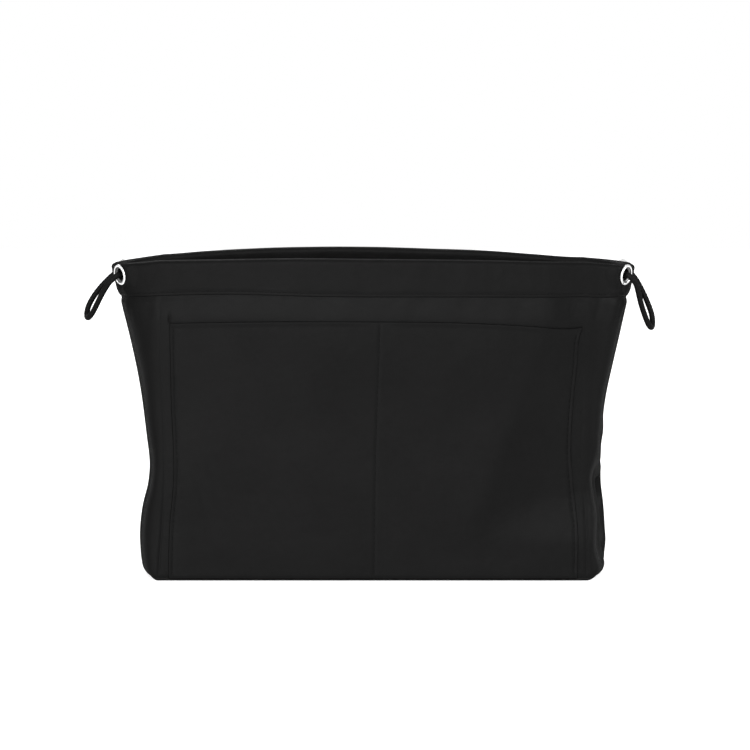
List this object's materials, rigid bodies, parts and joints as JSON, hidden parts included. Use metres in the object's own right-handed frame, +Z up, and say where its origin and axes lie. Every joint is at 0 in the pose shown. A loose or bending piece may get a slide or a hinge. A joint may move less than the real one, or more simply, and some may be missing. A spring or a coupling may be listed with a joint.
{
  "type": "organizer pouch insert",
  "caption": "Free-standing black fabric pouch insert with flat front pockets, side gussets, a drawcord casing round the mouth, metal eyelets and an elastic pull loop at each end.",
  "frame": {"origin": "middle of the base's underside, on the floor", "axes": "+X to the right seen from the front, front face towards -Y, +Z up"},
  "size_m": [0.2877, 0.0712, 0.1614],
  "materials": {
    "shell_fabric": "smooth black nylon satin, fine weave, soft sheen",
    "casing_fabric": "smooth black nylon satin, folded and topstitched",
    "pocket_fabric": "smooth black nylon satin, hemmed",
    "lining_fabric": "smooth black nylon lining",
    "base_board": "matte dark sheet",
    "eyelet_metal": "polished nickel plate",
    "drawcord": "black round braided elastic cord"
  },
  "bodies": {
    "body": {"base_panel": "shell_fabric", "base_board": "base_board", "base_lining": "lining_fabric", "left_gusset": "shell_fabric", "right_gusset": "shell_fabric", "left_gusset_lining": "lining_fabric", "right_gusset_lining": "lining_fabric", "left_casing_end": "casing_fabric", "right_casing_end": "casing_fabric", "front_left_eyelet": "eyelet_metal", "front_right_eyelet": "eyelet_metal", "rear_left_eyelet": "eyelet_metal", "rear_right_eyelet": "eyelet_metal", "front_left_eyelet_washer": "eyelet_metal", "front_right_eyelet_washer": "eyelet_metal", "rear_left_eyelet_washer": "eyelet_metal", "rear_right_eyelet_washer": "eyelet_metal", "front_left_drawcord_end": "drawcord", "front_right_drawcord_end": "drawcord", "rear_left_drawcord_end": "drawcord", "rear_right_drawcord_end": "drawcord"},
    "front_wall": {"front_panel": "shell_fabric", "front_lining": "lining_fabric", "front_casing": "casing_fabric", "front_drawcord": "drawcord"},
    "rear_wall": {"rear_panel": "shell_fabric", "rear_lining": "lining_fabric", "rear_casing": "casing_fabric", "rear_drawcord": "drawcord"},
    "front_pocket_left": {"front_pocket_left": "pocket_fabric"},
    "front_pocket_right": {"front_pocket_right": "pocket_fabric"},
    "left_loop": {"left_loop_front_strand": "drawcord", "left_loop_rear_strand": "drawcord"},
    "left_loop_end": {"left_loop_tip": "drawcord"},
    "right_loop": {"right_loop_front_strand": "drawcord", "right_loop_rear_strand": "drawcord"},
    "right_loop_end": {"right_loop_tip": "drawcord"}
  },
  "joints": [
    {"name": "mouth_close", "type": "hinge", "parent": "body", "child": "front_wall", "pos_m": [0, -0.035, 0.0012], "axis": [1, 0, 0], "range_deg": [-5.5, 3], "stiffness_Nm_per_rad": 0.4},
    {"name": "rear_wall_close", "type": "hinge", "parent": "body", "child": "rear_wall", "pos_m": [0, 0.035, 0.0012], "axis": [1, 0, 0], "range_deg": [-3, 5.5], "stiffness_Nm_per_rad": 0.4},
    {"name": "front_pocket_left_open", "type": "hinge", "parent": "front_wall", "child": "front_pocket_left", "pos_m": [0, -0.0353, 0.0015], "axis": [1, 0, 0], "range_deg": [0, 8], "stiffness_Nm_per_rad": 0.05},
    {"name": "front_pocket_right_open", "type": "hinge", "parent": "front_wall", "child": "front_pocket_right", "pos_m": [0, -0.0353, 0.0015], "axis": [1, 0, 0], "range_deg": [0, 8], "stiffness_Nm_per_rad": 0.05},
    {"name": "left_loop_swing", "type": "hinge", "parent": "body", "child": "left_loop", "pos_m": [-0.1263, 0, 0.151], "axis": [0, 1, 0], "range_deg": [-34, 115], "stiffness_Nm_per_rad": 0.005},
    {"name": "left_loop_pull", "type": "slide", "parent": "left_loop", "child": "left_loop_end", "axis": [-0.5982, 0, -0.8013], "range_m": [-0.0048, 0.0088], "deforming": ["left_loop_front_strand", "left_loop_rear_strand"]},
    {"name": "right_loop_swing", "type": "hinge", "parent": "body", "child": "right_loop", "pos_m": [0.1263, 0, 0.151], "axis": [0, -1, 0], "range_deg": [-22, 125], "stiffness_Nm_per_rad": 0.005},
    {"name": "right_loop_pull", "type": "slide", "parent": "right_loop", "child": "right_loop_end", "axis": [0.4311, 0, -0.9023], "range_m": [-0.0048, 0.0088], "deforming": ["right_loop_front_strand", "right_loop_rear_strand"]}
  ],
  "couplings": [
    {"joint": "rear_wall_close", "follows": "mouth_close", "ratio": -1},
    {"joint": "left_loop_pull", "follows": "mouth_close", "m_per_rad": -0.09},
    {"joint": "right_loop_pull", "follows": "mouth_close", "m_per_rad": -0.09}
  ]
}
